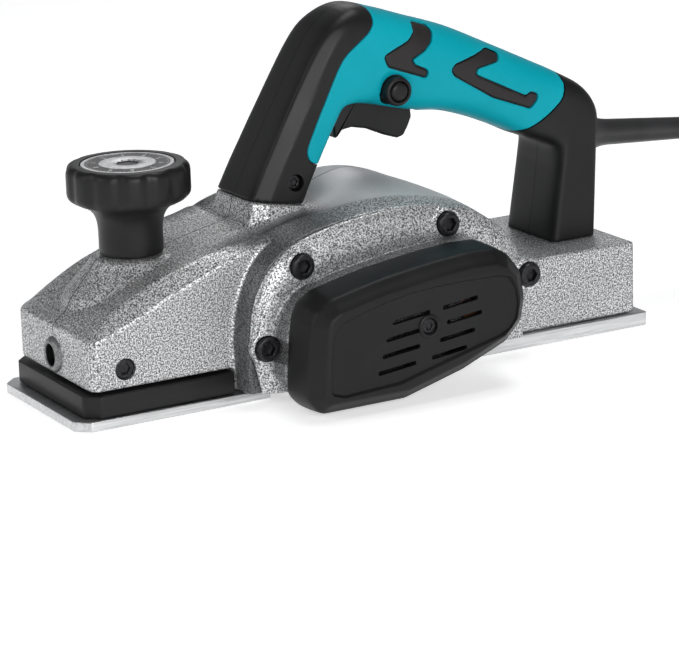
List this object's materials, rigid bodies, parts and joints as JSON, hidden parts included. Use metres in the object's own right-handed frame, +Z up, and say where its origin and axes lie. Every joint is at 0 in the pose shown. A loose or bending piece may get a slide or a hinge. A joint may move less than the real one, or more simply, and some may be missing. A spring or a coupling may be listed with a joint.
{
  "type": "hand-held electric planer",
  "caption": "Hand-held electric planer with depth knob, belt-driven cutter drum, adjustable front shoe, loop handle with trigger, and mains cord.",
  "frame": {"origin": "on the bottom face of the rear sole, on the machine's middle plane, level with the front of the motor", "axes": "+X to the rear, where the cord leaves; -Y to the belt cover side; +Y to the motor cover and chip outlet side; +Z up from the sole"},
  "size_m": [0.451, 0.2095, 0.1623],
  "materials": {
    "cast": "silver-grey hammertone paint on cast aluminium",
    "machined": "machined, fine brushed lines",
    "black_plastic": "fine moulded matt black nylon",
    "teal_grip": "satin teal moulded shell",
    "grip_insert": "matt black soft insert",
    "steel": "turned steel",
    "blued_screw": "black oxide",
    "copper_winding": "varnished copper windings on a steel core",
    "carbon": "graphite",
    "dial_plate": "satin plate with black scale ring",
    "belt_rubber": "ribbed drive belt rubber",
    "cord_rubber": "matt black rubber sheath"
  },
  "bodies": {
    "machine": {"body_left": "cast", "body_right": "cast", "belt_bracket": "cast", "drum_housing": "cast", "rear_sole": "machined", "belt_cover": "black_plastic", "handle_left": "black_plastic", "handle_right": "black_plastic", "drum_end_cap": "black_plastic", "motor_end_cover": "black_plastic", "chip_chute": "black_plastic", "switch_module": "black_plastic", "grip_left": "teal_grip", "grip_right": "teal_grip", "grip_insert_left_front": "grip_insert", "grip_insert_left_rear": "grip_insert", "grip_insert_right_front": "grip_insert", "grip_insert_right_rear": "grip_insert", "drum_bearing_belt_side": "steel", "drum_bearing_cover_side": "steel", "motor_bearing_belt_side": "steel", "motor_bearing_cover_side": "steel", "stator": "steel", "shoe_spring": "steel", "trigger_pin": "steel", "trigger_spring": "steel", "bracket_screw_1": "blued_screw", "bracket_screw_2": "blued_screw", "bracket_screw_3": "blued_screw", "bracket_screw_4": "blued_screw", "belt_cover_screw": "blued_screw", "drum_cap_screw_1": "blued_screw", "drum_cap_screw_2": "blued_screw", "motor_cover_screw_1": "blued_screw", "motor_cover_screw_2": "blued_screw", "handle_screw": "blued_screw", "fence_clamp_screw": "blued_screw", "carbon_brush_1": "carbon", "carbon_brush_2": "carbon", "drive_belt": "belt_rubber", "cord_guard": "cord_rubber", "cord_lead": "cord_rubber", "cord_coil": "cord_rubber", "plug": "cord_rubber"},
    "depth_knob": {"depth_knob": "black_plastic", "knob_dial": "dial_plate", "depth_spindle": "steel"},
    "front_shoe": {"front_shoe": "machined", "shoe_skirt": "black_plastic"},
    "cutter_drum": {"cutter_drum": "steel", "planer_blade_1": "steel", "planer_blade_2": "steel", "blade_clamp_1": "steel", "blade_clamp_2": "steel", "drum_pulley": "steel"},
    "motor_rotor": {"armature": "copper_winding", "cooling_fan": "black_plastic", "motor_pulley": "steel"},
    "trigger": {"trigger": "black_plastic"},
    "lock_button": {"lock_button": "black_plastic"}
  },
  "joints": [
    {"name": "knob_turn", "type": "hinge", "parent": "machine", "child": "depth_knob", "pos_m": [-0.0989, 0, 0.09], "axis": [0, 0, -1], "range_deg": [0, 360]},
    {"name": "shoe_lift", "type": "slide", "parent": "machine", "child": "front_shoe", "axis": [0, 0, 1], "range_m": [0, 0.00101]},
    {"name": "drum_spin", "type": "hinge", "parent": "machine", "child": "cutter_drum", "pos_m": [-0.039, 0, 0.02], "axis": [0, 1, 0], "continuous": true},
    {"name": "motor_spin", "type": "hinge", "parent": "machine", "child": "motor_rotor", "pos_m": [0.025, 0, 0.036], "axis": [0, 1, 0], "continuous": true},
    {"name": "trigger_pull", "type": "hinge", "parent": "machine", "child": "trigger", "pos_m": [0.008, 0, 0.126], "axis": [0, -1, 0], "range_deg": [0, 7], "stiffness_Nm_per_rad": 1.2, "springref_deg": -1.72},
    {"name": "lock_press", "type": "slide", "parent": "machine", "child": "lock_button", "axis": [0, 1, 0], "range_m": [0, 0.003], "stiffness_N_per_m": 300, "springref_m": -0.001}
  ],
  "couplings": [
    {"joint": "shoe_lift", "follows": "knob_turn", "m_per_rad": 0.00015915},
    {"joint": "motor_spin", "follows": "drum_spin", "ratio": 1.4286}
  ]
}
